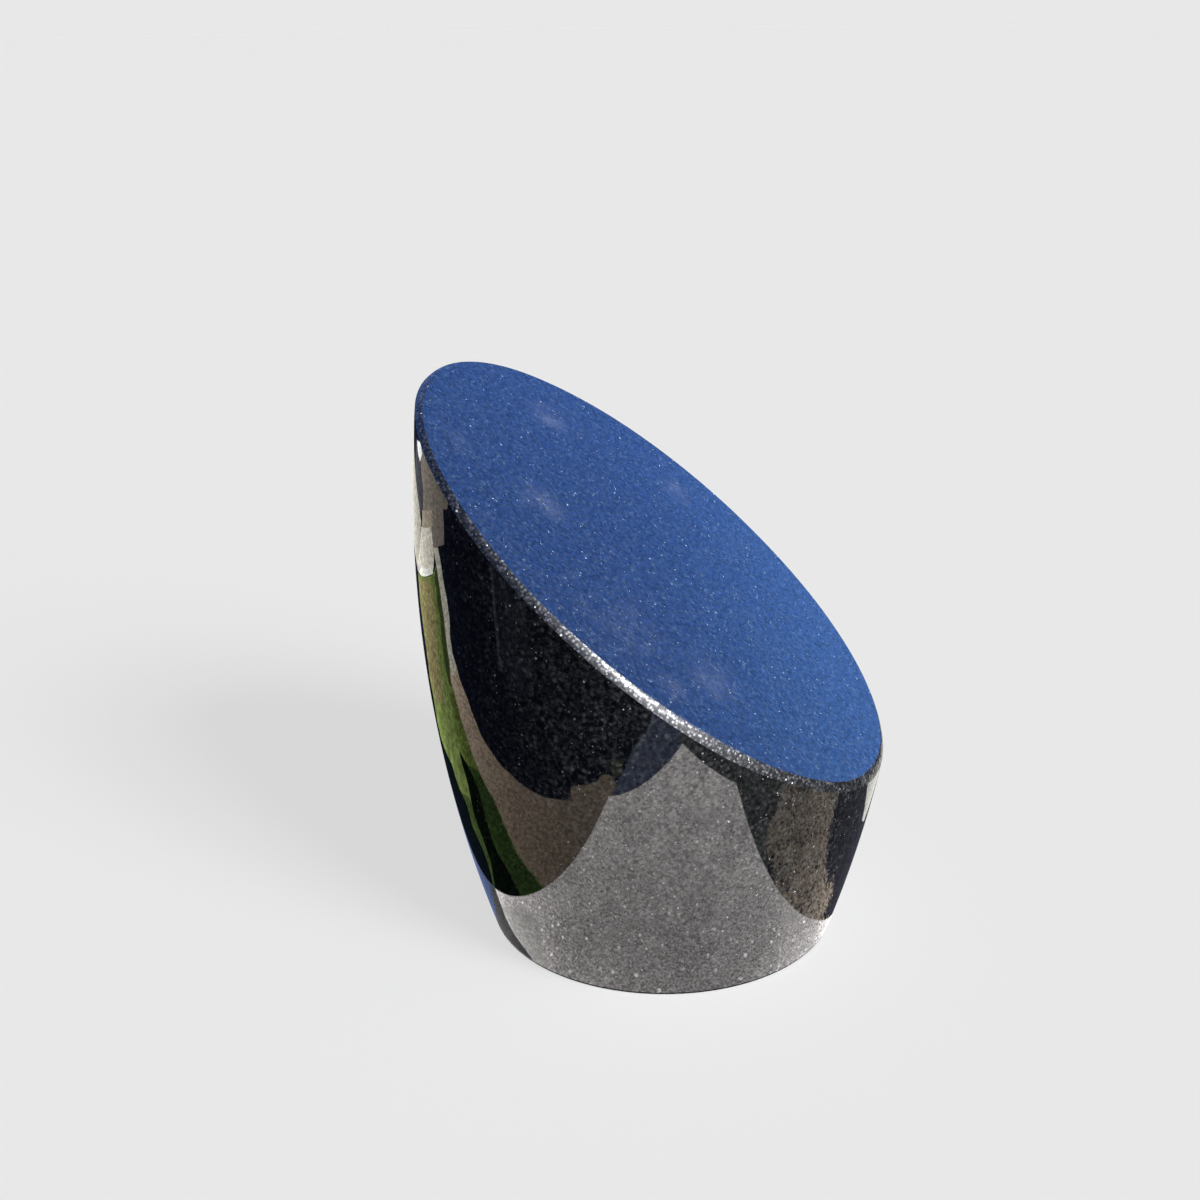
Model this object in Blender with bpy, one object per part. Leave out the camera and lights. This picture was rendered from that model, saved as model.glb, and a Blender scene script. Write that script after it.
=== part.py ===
# Headstone: one solid black granite stone, turned like a barrel and cut off by a slanting face.
# Metres, +Z up. The foot is centred on the origin. The face slopes down toward -Y, where a visitor stands.
import math

import bmesh
import bpy

# The turned side: one circular arc, upright where the stone is widest
FOOT_DIAMETER = 0.219
BELLY_DIAMETER = 0.300
BELLY_HEIGHT = 0.253

# The slanting face, from its highest point at the back to its lowest at the front, before its edge is ground
BACK_HEIGHT = 0.352
FRONT_HEIGHT = 0.122

# The ground arris round the face, with what it takes off the face and off the side
ARRIS_ON_FACE = 0.0034
ARRIS_ON_SIDE = 0.0048

# The narrow arris round the underside
FOOT_ARRIS = 0.0015

# How finely the solid is faceted
SIDES = 120
COURSES = 18
RIM_STEPS = 3
FOOT_STEPS = 2

# Repeats that find a point where the turned side meets a slanting plane
SETTLING_STEPS = 40

# Polished black granite
GRANITE_COLOUR = (0.012, 0.013, 0.016, 1.0)
GRANITE_ROUGHNESS = 0.06


def side_radius(height):
    """Radius of the turned side at a height."""
    swell = (BELLY_DIAMETER - FOOT_DIAMETER) / 2
    bend = 2 * swell / (BELLY_HEIGHT ** 2 + swell ** 2)
    away = height - BELLY_HEIGHT
    inward = bend * away ** 2 / (1 + math.sqrt(1 - (bend * away) ** 2))
    return BELLY_DIAMETER / 2 - inward


def face_fall():
    """Fall of the slanting face for each metre from back to front."""
    span = side_radius(BACK_HEIGHT) + side_radius(FRONT_HEIGHT)
    return (BACK_HEIGHT - FRONT_HEIGHT) / span


def rim_point(angle, off_face=0.0, off_side=0.0):
    """Radius and height where the side meets the face, with either of them moved inward."""
    fall = face_fall()
    lowered = off_side * math.sqrt(1 + fall ** 2)
    axis_height = FRONT_HEIGHT + fall * side_radius(FRONT_HEIGHT) - lowered
    height = axis_height
    for _ in range(SETTLING_STEPS):
        radius = side_radius(height) - off_face
        height = axis_height + fall * radius * math.sin(angle)
    return radius, height


def rounded(start, corner, end, steps):
    """Points of a curve that leaves start toward a corner and reaches end from it, without the start."""
    points = []
    for step in range(1, steps + 1):
        share = step / steps
        weights = ((1 - share) ** 2, 2 * share * (1 - share), share ** 2)
        points.append(tuple(
            weights[0] * start[axis] + weights[1] * corner[axis] + weights[2] * end[axis] for axis in range(2)
        ))
    return points


def meridian(angle):
    """Radii and heights from the edge of the underside up the side and over the arris to the face."""
    foot = side_radius(0)
    first = (foot - FOOT_ARRIS, 0)
    side_start = (side_radius(FOOT_ARRIS), FOOT_ARRIS)
    side_end = rim_point(angle, off_side=ARRIS_ON_SIDE)
    face_edge = rim_point(angle, off_face=ARRIS_ON_FACE)

    points = [first]
    points += rounded(first, (foot, 0), side_start, FOOT_STEPS)
    for course in range(1, COURSES):
        height = FOOT_ARRIS + (side_end[1] - FOOT_ARRIS) * course / COURSES
        points.append((side_radius(height), height))
    points.append(side_end)
    points += rounded(side_end, rim_point(angle), face_edge, RIM_STEPS)
    return points


def place_ring(vertices, outlines, level):
    """Move a ring of vertices to one level of the meridians, each at its own angle."""
    for vertex in vertices:
        turn = math.atan2(vertex.co.y, vertex.co.x) / math.tau
        side = round(turn * SIDES) % SIDES
        angle = math.tau * side / SIDES
        radius, height = outlines[side][level]
        vertex.co = (radius * math.cos(angle), radius * math.sin(angle), height)


def headstone_mesh():
    """The closed solid, drawn up ring by ring from its underside."""
    outlines = [meridian(math.tau * side / SIDES) for side in range(SIDES)]
    stone = bmesh.new()
    bmesh.ops.create_circle(stone, cap_ends=True, segments=SIDES, radius=1)
    place_ring(stone.verts, outlines, 0)
    ring = list(stone.edges)
    for level in range(1, len(outlines[0])):
        drawn = bmesh.ops.extrude_edge_only(stone, edges=ring)["geom"]
        ring = [item for item in drawn if isinstance(item, bmesh.types.BMEdge)]
        place_ring([item for item in drawn if isinstance(item, bmesh.types.BMVert)], outlines, level)
    bmesh.ops.contextual_create(stone, geom=ring)
    bmesh.ops.recalc_face_normals(stone, faces=stone.faces)

    mesh = bpy.data.meshes.new("headstone")
    stone.to_mesh(mesh)
    stone.free()
    mesh.shade_smooth()
    mesh.set_sharp_from_angle(angle=math.radians(20))
    return mesh


def polished_granite():
    """Black granite with a mirror polish."""
    material = bpy.data.materials.new("polished_granite")
    material.use_nodes = True
    shader = material.node_tree.nodes["Principled BSDF"]
    shader.inputs["Base Color"].default_value = GRANITE_COLOUR
    shader.inputs["Roughness"].default_value = GRANITE_ROUGHNESS
    shader.inputs["Metallic"].default_value = 0
    return material


def main():
    for item in list(bpy.data.objects):
        bpy.data.objects.remove(item)
    headstone = bpy.data.objects.new("headstone", headstone_mesh())
    headstone.data.materials.append(polished_granite())
    bpy.context.scene.collection.objects.link(headstone)


main()
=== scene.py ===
# Headstone of polished black granite: the finish of each surface, the studio round it and the camera.
import math

import bmesh
import bpy
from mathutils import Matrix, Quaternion, Vector


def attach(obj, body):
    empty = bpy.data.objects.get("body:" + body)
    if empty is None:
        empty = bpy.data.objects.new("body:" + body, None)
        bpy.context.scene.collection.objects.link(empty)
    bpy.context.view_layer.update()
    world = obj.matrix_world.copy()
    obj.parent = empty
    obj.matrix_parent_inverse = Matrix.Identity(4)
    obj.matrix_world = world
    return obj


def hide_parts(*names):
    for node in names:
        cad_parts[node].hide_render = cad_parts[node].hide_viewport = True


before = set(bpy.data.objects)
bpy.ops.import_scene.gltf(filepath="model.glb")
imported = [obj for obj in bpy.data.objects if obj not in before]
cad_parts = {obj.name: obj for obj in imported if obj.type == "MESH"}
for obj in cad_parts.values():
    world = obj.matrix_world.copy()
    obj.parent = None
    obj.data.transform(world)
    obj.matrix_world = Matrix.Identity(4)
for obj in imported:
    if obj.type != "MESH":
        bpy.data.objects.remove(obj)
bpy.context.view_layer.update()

# The turned side, as the solid has it
FOOT_DIAMETER = 0.219
BELLY_DIAMETER = 0.2999
BELLY_HEIGHT = 0.253

# The slanting face before its edge is ground, highest at +Y and lowest at -Y
BACK_HEIGHT = 0.352
FRONT_HEIGHT = 0.122

# What grinding takes off the face and off the side round the rim, and off the foot
ARRIS_ON_FACE = 0.0034
ARRIS_ON_SIDE = 0.0048
FOOT_ARRIS = 0.0015

# How round the arris is: 0 is a flat chamfer, 1 a full curve from the side to the face
ARRIS_ROUNDNESS = 0.3

# The hand-ground arris wavers: depth of each wave as a share of its width, waves round the rim, and its start
WAVERS = ((0.05, 3, 0.4), (0.04, 7, 2.1), (0.025, 13, 4.0))

# How far round the rim the wavers on the face lie from those on the side, in radians
WAVER_SHIFT = 1

# Where the arris is ground thinner or thicker on the face: degrees round the rim, spread, share taken off
UNEVEN_PLACES = ((-117, 16, 0.55), (102, 16, -0.6))

# How far onto the face the bruises of the grinding reach, and where along the rim they lie, in degrees
# They lie only where the key light glints, so their pale colour is partly a painted haze of that light
BRUISED_EDGE = 0.0045
BRUISE_AND_HAZE_MIDDLE = -158
BRUISE_AND_HAZE_SPREAD = 22

# Where along the rim the ground arris has a stronger sheen: a painted highlight centred on the key light's
# glint, in degrees
GLINT_SHEEN_MIDDLE = -167
GLINT_SHEEN_SPREAD = 15

# Fineness of the polished mesh
SIDES = 360
COURSES = 72
RIM_STEPS = 8
FOOT_STEPS = 4
SETTLING_STEPS = 40

# Camera, from the outline of the stone in the photograph
CAMERA_AZIMUTH = -74.8
CAMERA_ELEVATION = 20.1
CAMERA_DISTANCE = 1.054
CAMERA_LENS = 51.3
CAMERA_SENSOR = 36
CAMERA_SWING = 2.08
AIM_HEIGHT = 0.2116

# Key light, and a small hard lamp from the same side for the glint on the ground arris
KEY_AZIMUTH = -118
KEY_ELEVATION = 34
KEY_STRENGTH = 4.2
KEY_WIDTH = 24
GLINT_STRENGTH = 27
GLINT_WIDTH = 4

# Backdrop and fill, and the plain floor that glows
BACKDROP = (0.807, 0.807, 0.807, 1)
FILL = (0.14, 0.14, 0.14, 1)
FILL_BELOW = (0.04, 0.04, 0.04, 1)
FLOOR_COLOUR = (0.16, 0.16, 0.16, 1)
FLOOR_GLOW = 0.665
FLOOR_RADIUS = 20.0
FLOOR_SIDES = 64

# The dome that the polish mirrors. A pair holds the heights, as sines, where one colour starts and ends its
# change into the next
BLUE_ABOVE = (0.16, 0.44, 1.50, 1)
BLUE_LOW = (0.25, 0.68, 2.03, 1)
DARK_HORIZON = (0.03, 0.035, 0.04, 1)
BLUE_STARTS = (0.10, 0.17)
BLUE_DEEPENS = (0.19, 0.34)
FILL_STARTS = (-0.05, 0.05)

# The cards on the floor: the gap between two levels, and the size of their patches and pebbles, in metres
CARD_LIFT = 0.0002
CARD_PATCH = 0.05
PEBBLE = 0.006

# How far from the stone's axis a fading card has its own brightness. The fade is painted shade: darker near
# the stone
FADE_MIDDLE = 0.24

# How far the path runs on under the lawn, so that no gap shows
PATH_UNDER_LAWN = 0.012

# Borders that the cards share, from near to far
PATH_BORDER = [
    (-0.147, 0.113), (-0.138, 0.149), (-0.134, 0.192), (-0.131, 0.215), (-0.125, 0.237), (-0.111, 0.259),
    (-0.097, 0.287), (-0.083, 0.315), (-0.070, 0.343), (-0.054, 0.373), (-0.040, 0.404), (-0.023, 0.437),
    (-0.001, 0.471),
]
KERB_BORDER = [
    (0.000, 0.503), (0.012, 0.538), (0.024, 0.581), (0.040, 0.646), (0.073, 0.715), (0.101, 0.771),
    (0.153, 0.850),
]
SHADOW_BORDER = [
    (-0.096, 0.053), (-0.0945, 0.061), (-0.092, 0.068), (-0.087, 0.078), (-0.081, 0.089), (-0.076, 0.098),
    (-0.071, 0.112), (-0.067, 0.125), (-0.064, 0.132),
]

# Colours of the granite: the dark ground mass and the pale crystals, under each finish
POLISHED_BLACK = (0.0012, 0.0013, 0.0018, 1)
POLISHED_CRYSTAL = (0.82, 0.88, 0.96, 1)
# Crystals on what faces up are tinted sky blue: a painted reflection of the sky
PAINTED_SKY_CRYSTAL = (0.66, 0.88, 1.0, 1)
GROUND_BLACK = (0.004, 0.005, 0.007, 1)
GROUND_CRYSTAL = (0.9, 0.9, 0.92, 1)
SAWN_GREY = (0.045, 0.046, 0.05, 1)
SAWN_CRYSTAL = (0.7, 0.7, 0.7, 1)
DUST = (0.68, 0.72, 0.86, 1)

# Sizes of the grain, in metres
CLUSTER = 0.008
MOTTLE = 0.0028
SOFT_GRAIN = 0.0032
FLECK_SPACING = 0.0031
SPARKLE_SPACING = 0.0085
CRYSTAL = 0.0015
SHINE_PATCH = 0.0024
GROUND_GRIT = 0.0018
GROUND_FACET = 0.0016

# Sizes of what lies on the polish, in metres
COARSE_DUST = 0.0034
FINE_DUST = 0.0021
DUST_PATCH = 0.05
WISP = 0.016
BRUISE = 0.0022

# Radius of the smallest fleck and sparkle, and what the largest has more, as shares of their spacing
FLECK_RADIUS = 0.08
FLECK_GROWTH = 0.20
SPARKLE_RADIUS = 0.036
SPARKLE_GROWTH = 0.05

# How much light each kind of crystal sends back
MOTTLE_LIGHT = 0.05
SOFT_GRAIN_LIGHT = 0.06
FLECK_LIGHT = 0.50
SPARKLE_LIGHT = 0.9

# How far dust and bruises hide the polished stone, and how much rougher they make it
DUST_COVER = 0.04
# The bruises' pale cover is partly a painted haze where the key light glints
BRUISE_AND_HAZE_COVER = 0.07
DUST_DULLING = 0.02
BRUISE_DULLING = 0.3

# The polish as two layers: every crystal has the first, and each its own share of the second
POLISH_IOR = 1.38
CRYSTAL_IOR = 1.6
POLISH_ROUGHNESS = 0.022

# The ground arris as two layers: facets that glint, and a matt sheen over them. The grit's depth is in metres
FACET_IOR = 1.17
FACET_ROUGHNESS = 0.15
FACET_TILT = 0.11
GRIT_DEPTH = 0.00012
SHEEN_IOR = 1.5
SHEEN_ROUGHNESS = 0.60

# The sawn underside, with the number of the saw's ripples to a metre and their depth in metres
SAWN_IOR = 1.55
SAWN_ROUGHNESS = 0.62
SAW_RIPPLES = 60.0
SAW_DEPTH = 0.0003

# Smudges on the face: the middle of each, how far it reaches in metres, and how strong it is
SMUDGES = (
    (0.053, 0.090, 0.309, 0.022, 1.0),
    (-0.047, 0.060, 0.284, 0.024, 0.9),
    (-0.062, 0.106, 0.321, 0.018, 0.5),
    (0.105, 0.017, 0.250, 0.017, 0.8),
    (-0.118, -0.038, 0.204, 0.016, 0.9),
    (-0.075, -0.051, 0.194, 0.026, 0.7),
    (-0.100, 0.000, 0.235, 0.050, 0.35),
)


# Shader building


class Wire:
    """A socket of a node tree. Arithmetic on it adds Math nodes."""

    def __init__(self, finish, socket):
        self.finish = finish
        self.socket = socket

    def output(self, name):
        """Another output of the same node."""
        return Wire(self.finish, self.socket.node.outputs[name])

    def math(self, operation, *values):
        inputs = dict(enumerate(values))
        return self.finish.node("ShaderNodeMath", {"operation": operation}, inputs)

    def __add__(self, other):
        return self.math("ADD", self, other)

    __radd__ = __add__

    def __sub__(self, other):
        return self.math("SUBTRACT", self, other)

    def __rsub__(self, other):
        return self.math("SUBTRACT", other, self)

    def __mul__(self, other):
        return self.math("MULTIPLY", self, other)

    __rmul__ = __mul__

    def __truediv__(self, other):
        return self.math("DIVIDE", self, other)

    def __pow__(self, other):
        return self.math("POWER", self, other)


class Finish:
    """A node tree under construction."""

    def __init__(self, tree):
        self.tree = tree
        tree.nodes.clear()

    def node(self, kind, settings=None, inputs=None, output=0):
        """Adds a node, sets it up, feeds its sockets and gives back one of its outputs."""
        made = self.tree.nodes.new(kind)
        for name, value in (settings or {}).items():
            setattr(made, name, value)
        for name, value in (inputs or {}).items():
            if isinstance(value, Wire):
                self.tree.links.new(value.socket, made.inputs[name])
            else:
                made.inputs[name].default_value = value
        return Wire(self, made.outputs[output]) if made.outputs else None

    def place(self):
        """Where a point lies on the stone, in metres."""
        return self.node("ShaderNodeTexCoord").output("Object")

    def vector(self, operation, *values, output=0):
        """Vector Math on places, directions or colours."""
        inputs = dict(enumerate(values))
        if operation == "SCALE":
            inputs["Scale"] = inputs.pop(1)
        return self.node("ShaderNodeVectorMath", {"operation": operation}, inputs, output)

    def attribute(self, name):
        """A value that the mesh carries at its corners."""
        return self.node("ShaderNodeAttribute", {"attribute_name": name}, None, "Fac")

    def blend(self, share, first, second):
        """A colour between two others."""
        return self.node("ShaderNodeMix", {"data_type": "RGBA"}, {0: share, 6: first, 7: second}, 2)

    def rise(self, value, low, high):
        """0 below low, 1 above high and smooth between."""
        settings = {"interpolation_type": "SMOOTHSTEP"}
        return self.node("ShaderNodeMapRange", settings, {"Value": value, "From Min": low, "From Max": high})

    def clouds(self, place, size, detail=3.0, roughness=0.5):
        """Soft patches of about a size, from 0 to 1."""
        inputs = {"Vector": place, "Scale": 1 / size, "Detail": detail, "Roughness": roughness}
        return self.node("ShaderNodeTexNoise", None, inputs)

    def grains(self, place, size):
        """Crystals of about a size: the distance from each one's middle, in crystal widths."""
        return self.node("ShaderNodeTexVoronoi", None, {"Vector": place, "Scale": 1 / size})

    def draw(self, grains, channel="Red"):
        """A chance value for each crystal, from 0 to 1."""
        colour = grains.output("Color")
        return self.node("ShaderNodeSeparateColor", None, {"Color": colour}).output(channel)


def new_material(name):
    material = bpy.data.materials.new(name)
    material.use_nodes = True
    return material, Finish(material.node_tree)


# The stone's finishes


def soft_grains(finish, place, size, sharpness=2.0):
    """Soft round grains of about a size, each with its own brightness, from 0 to 1."""
    grains = finish.grains(place, size)
    return finish.rise(0.62 - grains, 0.0, 0.45) * finish.draw(grains) ** sharpness


def crystal_light(finish, place):
    """How much light the crystals of the granite send back: a fine mottle, pale flecks and rare sparkles."""
    clusters = finish.clouds(place, CLUSTER, 3.0, 0.6) * 2.4 - 0.2
    mottle = finish.rise(finish.clouds(place, MOTTLE, 3.0, 0.7), 0.38, 0.80) * MOTTLE_LIGHT
    mottle = mottle + soft_grains(finish, place, SOFT_GRAIN) * SOFT_GRAIN_LIGHT
    flecks = finish.grains(place, FLECK_SPACING)
    fleck_radius = FLECK_RADIUS + finish.draw(flecks, "Green") ** 2 * FLECK_GROWTH
    fleck = finish.rise(fleck_radius - flecks, 0.0, 0.10) * finish.draw(flecks) ** 1.6 * FLECK_LIGHT
    sparkles = finish.grains(place, SPARKLE_SPACING)
    sparkle_radius = SPARKLE_RADIUS + finish.draw(sparkles, "Green") ** 2 * SPARKLE_GROWTH
    bright = finish.rise(finish.draw(sparkles), 0.2, 0.7)
    sparkle = finish.rise(sparkle_radius - sparkles, 0.0, 0.025) * bright
    return (mottle + fleck) * clusters + sparkle * SPARKLE_LIGHT


def facing_up(finish):
    """1 on what lies open to the sky and 0 on the sides."""
    normal = finish.node("ShaderNodeTexCoord").output("Normal")
    return finish.rise(finish.node("ShaderNodeSeparateXYZ", None, {"Vector": normal}).output("Z"), 0.35, 0.7)


def settled_dust(finish, place, upward):
    """A thin uneven film of dust and dried rain on what faces up."""
    grit = soft_grains(finish, place, COARSE_DUST) + soft_grains(finish, place, FINE_DUST)
    patches = finish.rise(finish.clouds(place, DUST_PATCH, 3.0, 0.6), 0.35, 0.75)
    smudges = 0.0
    for x, y, z, reach, strength in SMUDGES:
        away = finish.vector("DISTANCE", place, (x, y, z), output="Value")
        smudges = smudges + finish.rise(reach - away, 0.0, reach) * strength
    wisps = finish.rise(finish.clouds(place, WISP, 5.0, 0.6), 0.30, 0.66)
    return upward * (grit * (0.15 + patches * 0.15) + patches * 0.08 + smudges * wisps * 2.6)


def bruising_and_haze(finish, place):
    """Small bruises in the polish of the face along the ground arris, kept where the key light glints: partly
    a painted haze.
    """
    edge = finish.attribute("edge")
    ragged = finish.clouds(place, BRUISE, 3.0, 0.7) - 0.5
    return finish.rise(edge + ragged * 1.1, 0.55, 1.0)


def polished_granite():
    """Near-black granite with a mirror polish, pale crystals under it and a faint film of dust."""
    material, finish = new_material("granite_polished")
    place = finish.place()
    upward = facing_up(finish)
    dust = settled_dust(finish, place, upward)
    bruise_and_haze = bruising_and_haze(finish, place)
    # The crystals facing up take a blue tint, a painted reflection of the sky
    crystal = finish.blend(upward, POLISHED_CRYSTAL, PAINTED_SKY_CRYSTAL)
    each_crystal = finish.draw(finish.grains(place, CRYSTAL))
    shine = each_crystal * 0.65 + finish.clouds(place, SHINE_PATCH, 3.0, 0.7) - 0.425
    stone = finish.blend(crystal_light(finish, place), POLISHED_BLACK, crystal)
    dusty = finish.blend(dust * DUST_COVER + bruise_and_haze * BRUISE_AND_HAZE_COVER, stone, DUST)
    shader = finish.node("ShaderNodeBsdfPrincipled", None, {
        "Base Color": dusty,
        "Roughness": POLISH_ROUGHNESS + dust * DUST_DULLING + bruise_and_haze * BRUISE_DULLING,
        "IOR": POLISH_IOR,
        "Coat Weight": shine,
        "Coat Roughness": POLISH_ROUGHNESS,
        "Coat IOR": CRYSTAL_IOR,
    })
    finish.node("ShaderNodeOutputMaterial", None, {"Surface": shader})
    return material


def crystal_facets(finish, place, size, tilt):
    """The surface's direction, with the facet of each crystal tilted its own way."""
    normal = finish.node("ShaderNodeNewGeometry").output("Normal")
    chance = finish.vector("SUBTRACT", finish.grains(place, size).output("Color"), (0.5, 0.5, 0.5))
    tilted = finish.vector("ADD", normal, finish.vector("SCALE", chance, tilt))
    return finish.vector("NORMALIZE", tilted)


def ground_granite():
    """The arris as the grinding disc left it: grey, matt and speckled, with facets that glint."""
    material, finish = new_material("granite_ground")
    place = finish.place()
    light = crystal_light(finish, place)
    grit = soft_grains(finish, place, GROUND_GRIT, 1.0)
    stone = finish.blend(light * (0.7 + light * 9) + grit * 0.02, GROUND_BLACK, GROUND_CRYSTAL)
    bump = finish.node("ShaderNodeBump", None, {
        "Strength": 0.5,
        "Distance": GRIT_DEPTH,
        "Height": grit,
        "Normal": crystal_facets(finish, place, GROUND_FACET, FACET_TILT),
    })
    shader = finish.node("ShaderNodeBsdfPrincipled", None, {
        "Base Color": stone,
        "Roughness": FACET_ROUGHNESS + grit * 0.08,
        "IOR": FACET_IOR,
        # The sheen is stronger where the key light glints: a painted highlight
        "Coat Weight": 0.10 + grit * 1.1 + finish.attribute("painted_glint_sheen") * (0.28 + grit * 0.9),
        "Coat Roughness": SHEEN_ROUGHNESS,
        "Coat IOR": SHEEN_IOR,
        "Normal": bump,
    })
    finish.node("ShaderNodeOutputMaterial", None, {"Surface": shader})
    return material


def sawn_granite():
    """The underside as the saw left it: dull grey with faint arcs of the blade."""
    material, finish = new_material("granite_sawn")
    place = finish.place()
    light = crystal_light(finish, place)
    blade = finish.node("ShaderNodeTexWave", {"wave_type": "BANDS"}, {
        "Vector": place,
        "Scale": SAW_RIPPLES,
        "Distortion": 1.5,
        "Detail": 2.0,
        "Detail Scale": 1.0,
    })
    stone = finish.blend(light * 1.2 + blade * 0.012, SAWN_GREY, SAWN_CRYSTAL)
    bump = finish.node("ShaderNodeBump", None, {"Strength": 0.2, "Distance": SAW_DEPTH, "Height": blade})
    shader = finish.node("ShaderNodeBsdfPrincipled", None, {
        "Base Color": stone,
        "Roughness": SAWN_ROUGHNESS + light * 0.2,
        "IOR": SAWN_IOR,
        "Normal": bump,
    })
    finish.node("ShaderNodeOutputMaterial", None, {"Surface": shader})
    return material


# The stone


def side_radius(height):
    """Radius of the turned side at a height."""
    swell = (BELLY_DIAMETER - FOOT_DIAMETER) / 2
    bend = 2 * swell / (BELLY_HEIGHT ** 2 + swell ** 2)
    away = height - BELLY_HEIGHT
    inward = bend * away ** 2 / (1 + math.sqrt(1 - (bend * away) ** 2))
    return BELLY_DIAMETER / 2 - inward


def face_fall():
    """Fall of the slanting face for each metre from back to front."""
    span = side_radius(BACK_HEIGHT) + side_radius(FRONT_HEIGHT)
    return (BACK_HEIGHT - FRONT_HEIGHT) / span


def rim_point(angle, off_face=0.0, off_side=0.0):
    """Radius and height where the side meets the face, with either of them moved inward."""
    fall = face_fall()
    lowered = off_side * math.sqrt(1 + fall ** 2)
    axis_height = FRONT_HEIGHT + fall * side_radius(FRONT_HEIGHT) - lowered
    height = axis_height
    for _ in range(SETTLING_STEPS):
        radius = side_radius(height) - off_face
        height = axis_height + fall * radius * math.sin(angle)
    return radius, height


def rounded(start, corner, end, steps):
    """Points of a curve that leaves start toward a corner and reaches end from it, without the start."""
    start, corner, end = Vector(start), Vector(corner), Vector(end)
    points = []
    for step in range(1, steps + 1):
        share = step / steps
        points.append(start.lerp(corner, share).lerp(corner.lerp(end, share), share))
    return points


def grinding(angle):
    """How wide the hand-ground arris is at an angle round the rim, beside its mean width."""
    return 1 + sum(depth * math.sin(waves * angle + start) for depth, waves, start in WAVERS)


def thinning(angle):
    """What is left of the arris on the face where it is ground unevenly."""
    left = 1
    for place, spread, share in UNEVEN_PLACES:
        left -= share * swelling(angle, place, spread)
    return left


def swelling(angle, middle, spread):
    """1 at one place round the rim, and 0 far from it. The places are in degrees."""
    away = (math.degrees(angle) - middle + 180) % 360 - 180
    return math.exp(-(away / spread) ** 2)


def meridian(angle):
    """Radii and heights from the edge of the underside up the side and over the arris to the face."""
    foot = side_radius(0)
    first = (foot - FOOT_ARRIS, 0)
    side_start = (side_radius(FOOT_ARRIS), FOOT_ARRIS)
    side_end = rim_point(angle, off_side=ARRIS_ON_SIDE * grinding(angle))
    onto_face = ARRIS_ON_FACE * grinding(angle + WAVER_SHIFT) * thinning(angle)
    face_edge = rim_point(angle, off_face=onto_face)

    points = [first]
    points += rounded(first, (foot, 0), side_start, FOOT_STEPS)
    for course in range(1, COURSES):
        height = FOOT_ARRIS + (side_end[1] - FOOT_ARRIS) * course / COURSES
        points.append((side_radius(height), height))
    points.append(side_end)
    middle = Vector(side_end).lerp(Vector(face_edge), 0.5)
    corner = middle.lerp(Vector(rim_point(angle)), ARRIS_ROUNDNESS)
    points += rounded(side_end, corner, face_edge, RIM_STEPS)
    points.append(rim_point(angle, off_face=onto_face + BRUISED_EDGE))
    return points


def place_ring(vertices, outlines, level):
    """Moves a ring of vertices to one level of the meridians, each at its own angle."""
    for vertex in vertices:
        side = round(math.atan2(vertex.co.y, vertex.co.x) / math.tau * SIDES) % SIDES
        angle = math.tau * side / SIDES
        radius, height = outlines[side][level]
        vertex.co = (radius * math.cos(angle), radius * math.sin(angle), height)


def polished_stone():
    """The whole stone, drawn up ring by ring from its underside, with a finish for each band."""
    polished, ground, sawn = range(3)
    side_top = FOOT_STEPS + COURSES
    face_edge = side_top + RIM_STEPS
    creases = (0, FOOT_STEPS, side_top, face_edge)
    outlines = [meridian(math.tau * side / SIDES) for side in range(SIDES)]

    stone = bmesh.new()
    edge = stone.verts.layers.float.new("edge")
    painted_glint_sheen = stone.verts.layers.float.new("painted_glint_sheen")
    bmesh.ops.create_circle(stone, cap_ends=True, segments=SIDES, radius=1)
    place_ring(stone.verts, outlines, 0)
    for face in stone.faces:
        face.material_index = sawn
    ring = list(stone.edges)
    for level in range(1, len(outlines[0])):
        for border in ring:
            border.smooth = level - 1 not in creases
        drawn = bmesh.ops.extrude_edge_only(stone, edges=ring)["geom"]
        ring = [item for item in drawn if isinstance(item, bmesh.types.BMEdge)]
        corners = [item for item in drawn if isinstance(item, bmesh.types.BMVert)]
        place_ring(corners, outlines, level)
        for corner in corners:
            angle = math.atan2(corner.co.y, corner.co.x)
            on_arris = side_top < level <= face_edge
            # Bruises only where the key light glints: in part a painted highlight
            corner[edge] = swelling(angle, BRUISE_AND_HAZE_MIDDLE, BRUISE_AND_HAZE_SPREAD) if on_arris else 0.0
            # The arris shines more round the key light's glint: a painted highlight
            corner[painted_glint_sheen] = swelling(angle, GLINT_SHEEN_MIDDLE, GLINT_SHEEN_SPREAD)
        band = polished if FOOT_STEPS < level <= side_top or level > face_edge else ground
        for face in drawn:
            if isinstance(face, bmesh.types.BMFace):
                face.material_index = band
    for face in bmesh.ops.contextual_create(stone, geom=ring)["faces"]:
        face.material_index = polished
    bmesh.ops.recalc_face_normals(stone, faces=stone.faces)
    for face in stone.faces:
        face.smooth = True

    mesh = bpy.data.meshes.new("polished_stone")
    stone.to_mesh(mesh)
    stone.free()
    for finish in (polished_granite(), ground_granite(), sawn_granite()):
        mesh.materials.append(finish)
    piece = bpy.data.objects.new("polished_stone", mesh)
    bpy.context.scene.collection.objects.link(piece)
    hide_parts("headstone")
    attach(piece, "root")
    return piece


# The studio


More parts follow.
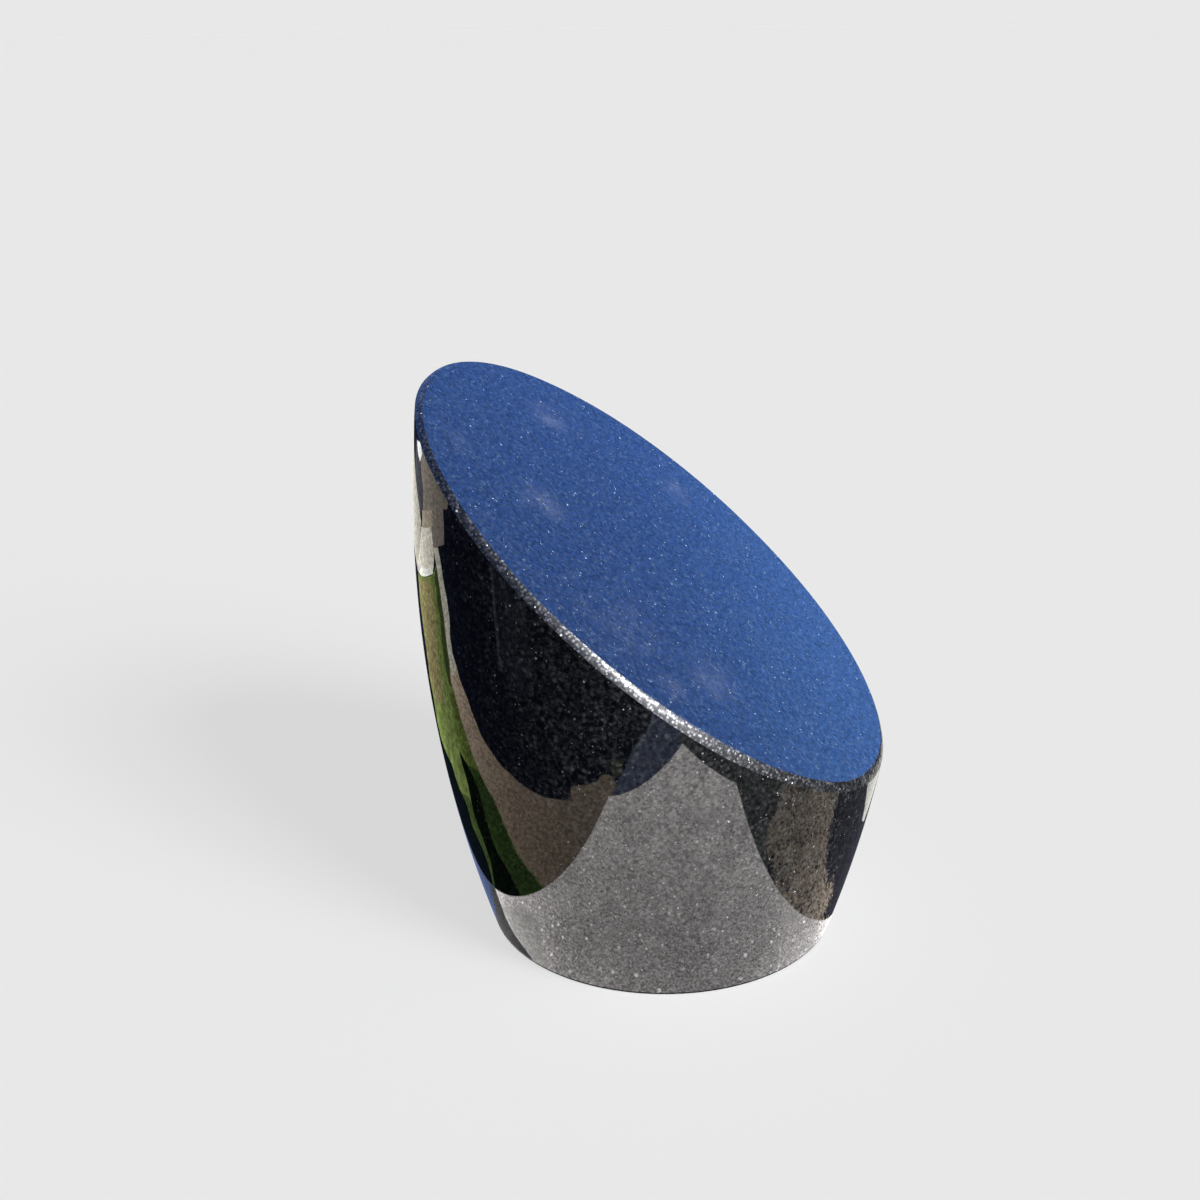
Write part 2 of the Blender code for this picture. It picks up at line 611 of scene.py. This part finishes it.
def flat_shape(name, corners, height, material, soft=0.0):
    """A flat sheet at a height, with its corners in order. It fades in over a soft border."""
    sheet = bmesh.new()
    cover = sheet.verts.layers.float.new("cover")
    verts = [sheet.verts.new((x, y, height)) for x, y in corners]
    border = [sheet.edges.new((verts[place - 1], verts[place])) for place in range(len(verts))]
    made = bmesh.ops.contextual_create(sheet, geom=border)
    bmesh.ops.recalc_face_normals(sheet, faces=sheet.faces)
    middle = made["faces"]
    if soft:
        bmesh.ops.inset_region(sheet, faces=middle, thickness=soft, use_boundary=True, use_even_offset=True)
    for corner in middle[0].verts:
        corner[cover] = 1.0
    mesh = bpy.data.meshes.new(name)
    sheet.to_mesh(mesh)
    sheet.free()
    mesh.materials.append(material)
    piece = bpy.data.objects.new(name, mesh)
    bpy.context.scene.collection.objects.link(piece)
    return piece


def floor():
    """A plain pale floor that glows a little, so the shadow on it stays soft."""
    material, finish = new_material("studio_floor")
    matt = finish.node("ShaderNodeBsdfDiffuse", None, {"Color": FLOOR_COLOUR})
    glow = finish.node("ShaderNodeEmission", None, {"Color": (1, 1, 1, 1), "Strength": FLOOR_GLOW})
    both = finish.node("ShaderNodeAddShader", None, {0: matt, 1: glow})
    finish.node("ShaderNodeOutputMaterial", None, {"Surface": both})
    turns = [math.tau * corner / FLOOR_SIDES for corner in range(FLOOR_SIDES)]
    corners = [(FLOOR_RADIUS * math.cos(turn), FLOOR_RADIUS * math.sin(turn)) for turn in turns]
    sheet = flat_shape("studio_floor", corners, 0, material)
    sheet.visible_diffuse = False


def card(
    name, colour, level, corners, grain=0.012, contrast=0.5, soft=0.003, ragged=0.6, fade=0.0, pebbles=0.0,
):
    """A card on the floor that shows only as a reflection in the polish.

    A higher level lies over a lower one. grain is the size of its specks and contrast their strength. soft is
    the width of its border and ragged its unevenness. fade brightens it outward, and pebbles adds pale dots.
    """
    material, finish = new_material(name)
    place = finish.place()
    fine = finish.clouds(place, grain, 2.0) - 0.5
    broad = finish.clouds(place, CARD_PATCH, 3.0, 0.6) - 0.5
    strength = 1 + fine * contrast + broad * contrast * 0.5
    # Darker toward the stone and brighter outward: painted shade of the stone
    if fade:
        away = finish.vector("LENGTH", place, output="Value")
        strength = strength * (1 - fade * FADE_MIDDLE + away * fade)
    if pebbles:
        stones = finish.grains(place, PEBBLE)
        strength = strength + finish.rise(0.32 - stones, 0.0, 0.15) * finish.draw(stones) ** 3 * pebbles
    lit = finish.vector("SCALE", colour, strength.math("MAXIMUM", strength, 0.0))
    glow = finish.node("ShaderNodeEmission", None, {"Color": lit})
    clear = finish.node("ShaderNodeBsdfTransparent")
    cover = finish.rise(finish.attribute("cover") + fine * ragged, 0.1, 0.9)
    seen = finish.node("ShaderNodeMixShader", None, {0: cover, 1: clear, 2: glow})
    finish.node("ShaderNodeOutputMaterial", None, {"Surface": seen})
    piece = flat_shape(name, corners, level * CARD_LIFT, material, soft)
    piece.visible_camera = False
    piece.visible_diffuse = False
    piece.visible_shadow = False
    piece.visible_transmission = False
    piece.visible_volume_scatter = False


def far_cards():
    """Dark ground all round, and what stands far off beyond the lawn."""
    card("card_ground", (0.014, 0.018, 0.042), 1, [(-21, -21), (21, -21), (21, 21), (-21, 21)])
    card("card_dusk", (0.04, 0.05, 0.085), 2, [
        (-0.50, 0.95), (-0.414, 0.709), (-0.350, 0.545), (-0.322, 0.453), (-0.313, 0.385), (-0.327, 0.354),
        (-0.365, 0.314), (-0.405, 0.314), (-0.433, 0.348), (-0.492, 0.410), (-0.574, 0.507),
        (-0.622, 0.603), (-0.75, 0.85),
    ], contrast=1.0, soft=0.012)
    card("card_pole", (0.17, 0.19, 0.25), 3, [
        (-0.486, 0.909), (-0.460, 0.813), (-0.414, 0.709), (-0.381, 0.621), (-0.350, 0.545),
        (-0.326, 0.498), (-0.322, 0.453), (-0.337, 0.446), (-0.342, 0.490), (-0.368, 0.538),
        (-0.401, 0.612), (-0.438, 0.701), (-0.478, 0.808), (-0.507, 0.903),
    ])
    card("card_wall", (0.62, 0.55, 0.47), 3, [
        (0.138, 0.961), (0.048, 1.010), (0.058, 1.112), (0.095, 1.263), (0.02, 1.30), (0.0, 1.70),
        (0.9, 2.6), (2.0, 2.4), (0.9, 1.3), (0.683, 1.160), (0.549, 1.100), (0.480, 0.985), (0.46, 0.80),
        (0.27, 0.80),
    ], grain=0.03)
    card("card_gutter", (0.16, 0.17, 0.20), 4, [
        (0.831, 0.889), (0.688, 0.911), (0.584, 0.910), (0.530, 0.889), (0.480, 0.985), (0.549, 1.100),
        (0.683, 1.160), (0.80, 1.25), (1.0, 1.05),
    ], grain=0.03, contrast=1.2, soft=0.01)
    card("card_cream", (1.05, 1.01, 0.87), 5, [
        (1.1, 0.80), (0.94, 0.86), (0.831, 0.889), (0.688, 0.911), (0.584, 0.910), (0.488, 0.878),
        (0.457, 0.749), (0.392, 0.644), (0.464, 0.579), (0.535, 0.558), (0.65, 0.50), (0.9, 0.45),
        (1.3, 0.6),
    ], grain=0.03, contrast=0.9)
    card("card_white", (2.4, 2.4, 2.35), 6, [
        (0.955, 1.115), (0.864, 1.274), (0.741, 1.290), (0.743, 1.163), (0.837, 1.113),
    ], soft=0.01)
    card("card_post_top", (1.0, 0.86, 0.66), 6, [
        (0.501, 0.962), (0.301, 1.139), (0.248, 1.038), (0.455, 0.875),
    ])
    card("card_post", (1.75, 1.65, 1.42), 6, [
        (0.475, 0.854), (0.283, 1.015), (0.220, 0.932), (0.187, 0.860), (0.192, 0.794), (0.280, 0.718),
        (0.392, 0.644), (0.471, 0.611), (0.457, 0.749),
    ], grain=0.03)
    card("card_step", (2.3, 2.3, 2.1), 7, [
        (0.187, 0.840), (0.192, 0.780), (0.264, 0.728), (0.392, 0.630), (0.44, 0.60), (0.40, 0.67),
        (0.28, 0.755),
    ])


def lawn_cards():
    """The lawn, dry on its far side, with deep shade at its near end."""
    card("card_lawn", (0.36, 0.48, 0.14), 5, [
        (0.192, 0.78), (0.264, 0.728), (0.392, 0.635), (0.464, 0.579), (0.400, 0.509), (0.297, 0.446),
        (0.252, 0.415), (0.239, 0.364), (0.193, 0.343), (0.177, 0.304), (0.151, 0.276), (0.099, 0.266),
        (0.062, 0.262), (0.032, 0.243), (0.012, 0.226), (-0.001, 0.210), (-0.016, 0.194), (-0.033, 0.179),
        (-0.046, 0.163), (-0.055, 0.150), (-0.08, 0.10), (-0.15, 0.09),
    ] + PATH_BORDER + KERB_BORDER, grain=0.02, contrast=1.8)
    card("card_lawn_far_side", (0.32, 0.28, 0.13), 6, [
        (0.464, 0.579), (0.264, 0.728), (0.18, 0.73), (0.13, 0.65), (0.11, 0.56), (0.08, 0.47),
        (0.05, 0.40), (0.15, 0.34), (0.239, 0.364), (0.297, 0.446), (0.400, 0.509),
    ], grain=0.015, contrast=2.2, soft=0.03, ragged=2.0, fade=2.2)
    card("card_lawn_dark", (0.11, 0.15, 0.05), 6, [
        (0.173, 0.774), (0.139, 0.734), (0.121, 0.678), (0.084, 0.634), (0.075, 0.568), (0.059, 0.527),
        (0.035, 0.479), (0.020, 0.450), (-0.015, 0.445),
    ] + PATH_BORDER[-1:] + KERB_BORDER, grain=0.015, contrast=1.6, soft=0.008, ragged=1.4)
    card("card_lawn_side", (0.23, 0.32, 0.07), 6, [
        (-0.015, 0.445), (0.030, 0.44), (0.010, 0.40), (-0.010, 0.345), (-0.018, 0.326), (-0.033, 0.306),
        (-0.060, 0.270),
    ] + PATH_BORDER[5:12], grain=0.010, contrast=2.4, soft=0.010, ragged=1.4)
    inner_border = PATH_BORDER[:6] + [(-0.100, 0.282), (-0.075, 0.295)]
    card("card_lawn_near_side", (0.065, 0.130, 0.032), 7, [
        (-0.035, 0.300), (-0.040, 0.276), (-0.065, 0.246), (-0.070, 0.226), (-0.072, 0.188),
        (-0.080, 0.165), (-0.095, 0.126), (-0.11, 0.09), (-0.15, 0.09),
    ] + inner_border, grain=0.006, contrast=2.8, soft=0.006, ragged=1.8)
    card("card_lawn_near_end", (0.13, 0.20, 0.06), 6, [
        (-0.09, 0.13), (-0.08, 0.18), (-0.06, 0.225), (-0.03, 0.25), (0.03, 0.25), (0.0, 0.2),
        (-0.04, 0.13),
    ], grain=0.006, contrast=1.5, soft=0.01)
    card("card_lawn_shade", (0.004, 0.010, 0.004), 8, [
        (-0.006, 0.330), (-0.012, 0.310), (-0.017, 0.296), (-0.029, 0.276), (-0.035, 0.257),
        (-0.036, 0.239), (-0.039, 0.221), (-0.047, 0.205), (-0.057, 0.188), (-0.062, 0.173),
        (-0.066, 0.158), (-0.064, 0.145), (-0.06, 0.10), (-0.115, 0.08), (-0.111, 0.119), (-0.108, 0.136),
        (-0.102, 0.152), (-0.093, 0.170), (-0.088, 0.185), (-0.087, 0.203), (-0.085, 0.219),
        (-0.082, 0.238), (-0.080, 0.257), (-0.069, 0.276), (-0.048, 0.298), (-0.017, 0.318),
    ], grain=0.006, contrast=1.5)
    # The lawn's edge behind the stone, dark in the stone's shadow: painted shadow
    card("card_lawn_in_stone_shadow", (0.006, 0.011, 0.016), 8, [
        (0.40, 0.42), (0.239, 0.364), (0.193, 0.343), (0.177, 0.304), (0.140, 0.283), (0.098, 0.283),
        (0.053, 0.279), (0.034, 0.263), (0.017, 0.248), (-0.010, 0.236), (-0.020, 0.219), (-0.025, 0.203),
        (-0.041, 0.188), (-0.053, 0.173), (-0.060, 0.158), (-0.062, 0.145), (-0.06, 0.10), (0.5, 0.25),
        (0.6, 0.45),
    ], ragged=0.9)


def path_cards():
    """The path with its kerb, and a tuft of grass at its near end."""
    under_lawn = [(x + PATH_UNDER_LAWN, y) for x, y in PATH_BORDER + KERB_BORDER[:1]]
    card("card_path", (0.74, 0.58, 0.44), 4, under_lawn[::-1] + [
        (-0.138, 0.06), (-0.30, 0.0), (-0.329, 0.012), (-0.336, 0.021), (-0.342, 0.028), (-0.343, 0.041),
        (-0.337, 0.054), (-0.326, 0.060), (-0.317, 0.075), (-0.307, 0.096), (-0.294, 0.117),
        (-0.274, 0.109), (-0.264, 0.130), (-0.245, 0.160), (-0.230, 0.189), (-0.214, 0.218),
        (-0.200, 0.246), (-0.182, 0.271), (-0.170, 0.295), (-0.154, 0.320), (-0.139, 0.344),
        (-0.128, 0.374), (-0.116, 0.397), (-0.105, 0.426), (-0.088, 0.452), (-0.069, 0.477),
        (-0.056, 0.509), (-0.032, 0.544),
    ], grain=0.006, contrast=0.9, fade=2.6)
    card("card_kerb", (1.5, 1.45, 1.2), 8, [(0.216, 0.915)] + KERB_BORDER[::-1] + [
        (-0.001, 0.480), (-0.040, 0.485), (-0.056, 0.509), (-0.032, 0.544), (-0.018, 0.589),
        (-0.020, 0.659), (0.003, 0.734), (0.038, 0.792), (0.082, 0.879), (0.137, 0.955),
    ], soft=0.004)
    card("card_tuft", (0.15, 0.20, 0.10), 8, [
        (-0.342, 0.028), (-0.361, 0.032), (-0.367, 0.041), (-0.372, 0.021), (-0.374, -0.003),
        (-0.362, -0.003), (-0.347, 0.005), (-0.334, 0.018),
    ], grain=0.006, contrast=1.5, ragged=1.5)


def soil_cards():
    """Brown soil and its shade beside the slab, with dark and pale ground past it."""
    card("card_bed", (0.06, 0.06, 0.08), 5, [(0.0, -0.10), (0.0, -0.6), (0.4, -0.6), (0.4, -0.1)])
    card("card_soil_shade", (0.19, 0.20, 0.19), 5, [
        (-0.37, -0.155), (-0.22, -0.20), (-0.08, -0.14), (-0.105, -0.165), (-0.11, -0.19), (-0.12, -0.24),
        (-0.12, -0.42), (-0.50, -0.42), (-0.50, -0.16),
    ], grain=0.005, contrast=2.4, pebbles=4.0)
    card("card_soil", (0.74, 0.62, 0.50), 6, [
        (-0.137, -0.276), (-0.135, -0.257), (-0.135, -0.241), (-0.142, -0.229), (-0.136, -0.211),
        (-0.132, -0.192), (-0.124, -0.182), (-0.109, -0.175), (-0.07, -0.13), (0.03, -0.09),
        (0.001, -0.123), (0.016, -0.132), (0.024, -0.152), (0.022, -0.162), (0.008, -0.161),
        (0.007, -0.185), (0.008, -0.204), (0.012, -0.222), (0.025, -0.247), (0.040, -0.272), (0.06, -0.40),
        (-0.13, -0.42),
    ], grain=0.0034, contrast=3.8, soft=0.012, ragged=2.4)
    card("card_pale", (1.14, 1.12, 1.04), 6, [
        (0.152, -0.220), (0.140, -0.198), (0.130, -0.176), (0.116, -0.164), (0.128, -0.146), (0.4, -0.1),
        (0.3, -0.3), (0.18, -0.28),
    ])


def slab_cards():
    """The pale slab under the stone, with the stone's own shadow on it."""
    card("card_slab_shade", (0.30, 0.36, 0.58), 8, [
        (-0.307, 0.030), (-0.30, 0.0), (-0.31, -0.05), (-0.34, -0.12), (-0.365, -0.165), (-0.385, -0.160),
        (-0.45, -0.20), (-0.52, -0.10), (-0.446, -0.083), (-0.421, -0.055), (-0.398, -0.025),
        (-0.374, -0.008), (-0.355, -0.002), (-0.336, 0.012), (-0.322, 0.022),
    ], grain=0.006, contrast=1.0, soft=0.008)
    card("card_slab", (2.68, 2.54, 2.51), 9, [
        (-0.306, 0.031), (-0.311, 0.006), (-0.325, -0.038), (-0.353, -0.111), (-0.375, -0.160),
        (-0.297, -0.199), (-0.232, -0.229), (0.45, 0.0975), (0.35, 0.303),
    ], grain=0.0015, contrast=2.2, soft=0.002, ragged=0.4, fade=2.5, pebbles=1.4)
    # Darker slab round the stone's foot: painted shade
    card("card_slab_foot_shade", (1.5, 1.46, 1.40), 10, [
        (-0.125, 0.085), (-0.115, 0.104), (-0.06, 0.127), (0.1, 0.19), (0.1, 0.0), (-0.10, 0.03),
    ], soft=0.014, ragged=0.1)
    beyond = [(0.35, 0.303), (0.42, 0.12), (0.0, 0.0)]
    card("card_stone_shade", (0.16, 0.22, 0.42), 11, SHADOW_BORDER + beyond, soft=0.002)
    beside = [(-0.050, 0.132), (-0.054, 0.118), (-0.055, 0.098), (-0.045, 0.06), (-0.05, 0.03)]
    card("card_stone_shade_near", (0.19, 0.185, 0.19), 12, SHADOW_BORDER + beside, soft=0.002)


def far_lamp(name, strength, width):
    """A lamp far off on the key side."""
    lamp = bpy.data.lights.new(name, "SUN")
    lamp.energy = strength
    lamp.angle = math.radians(width)
    light = bpy.data.objects.new(name, lamp)
    turn, rise = math.radians(KEY_AZIMUTH), math.radians(KEY_ELEVATION)
    toward = Vector((math.cos(rise) * math.cos(turn), math.cos(rise) * math.sin(turn), math.sin(rise)))
    light.rotation_euler = toward.to_track_quat("Z", "Y").to_euler()
    bpy.context.scene.collection.objects.link(light)
    return light


def lamps():
    """A broad soft key light, and a small one that only glints on the ground arris."""
    far_lamp("key_light", KEY_STRENGTH, KEY_WIDTH)
    glint = far_lamp("glint_light", GLINT_STRENGTH, GLINT_WIDTH)
    glint.visible_diffuse = False


def surroundings():
    """A plain pale backdrop and white fill, with blue overhead for the polish to mirror."""
    world = bpy.data.worlds.new("studio")
    world.use_nodes = True
    finish = Finish(world.node_tree)
    rays = finish.node("ShaderNodeLightPath")
    direction = finish.node("ShaderNodeTexCoord").output("Generated")
    up = finish.node("ShaderNodeSeparateXYZ", None, {"Vector": direction}).output("Z")
    blue = finish.blend(finish.rise(up, *BLUE_DEEPENS), BLUE_LOW, BLUE_ABOVE)
    above = finish.blend(finish.rise(up, *BLUE_STARTS), DARK_HORIZON, blue)
    fill = finish.blend(finish.rise(up, *FILL_STARTS), FILL_BELOW, FILL)
    plain = finish.blend(rays.output("Is Camera Ray"), fill, BACKDROP)
    seen = finish.blend(rays.output("Is Glossy Ray"), plain, above)
    shader = finish.node("ShaderNodeBackground", None, {"Color": seen, "Strength": 1.0})
    finish.node("ShaderNodeOutputWorld", None, {"Surface": shader})
    bpy.context.scene.world = world
    bpy.context.scene.view_settings.view_transform = "Standard"


def camera():
    """The photograph's view: from the stone's left, a little above it."""
    turn, rise = math.radians(CAMERA_AZIMUTH), math.radians(CAMERA_ELEVATION)
    back = Vector((math.sin(turn) * math.cos(rise), -math.cos(turn) * math.cos(rise), math.sin(rise)))
    data = bpy.data.cameras.new("camera")
    data.lens = CAMERA_LENS
    data.sensor_width = CAMERA_SENSOR
    eye = bpy.data.objects.new("camera", data)
    eye.location = Vector((0, 0, AIM_HEIGHT)) + back * CAMERA_DISTANCE
    swing = Quaternion((0, 1, 0), math.radians(CAMERA_SWING))
    eye.rotation_euler = (back.to_track_quat("Z", "Y") @ swing).to_euler()
    bpy.context.scene.collection.objects.link(eye)
    bpy.context.scene.camera = eye


polished_stone()
floor()
far_cards()
lawn_cards()
path_cards()
soil_cards()
slab_cards()
lamps()
surroundings()
camera()
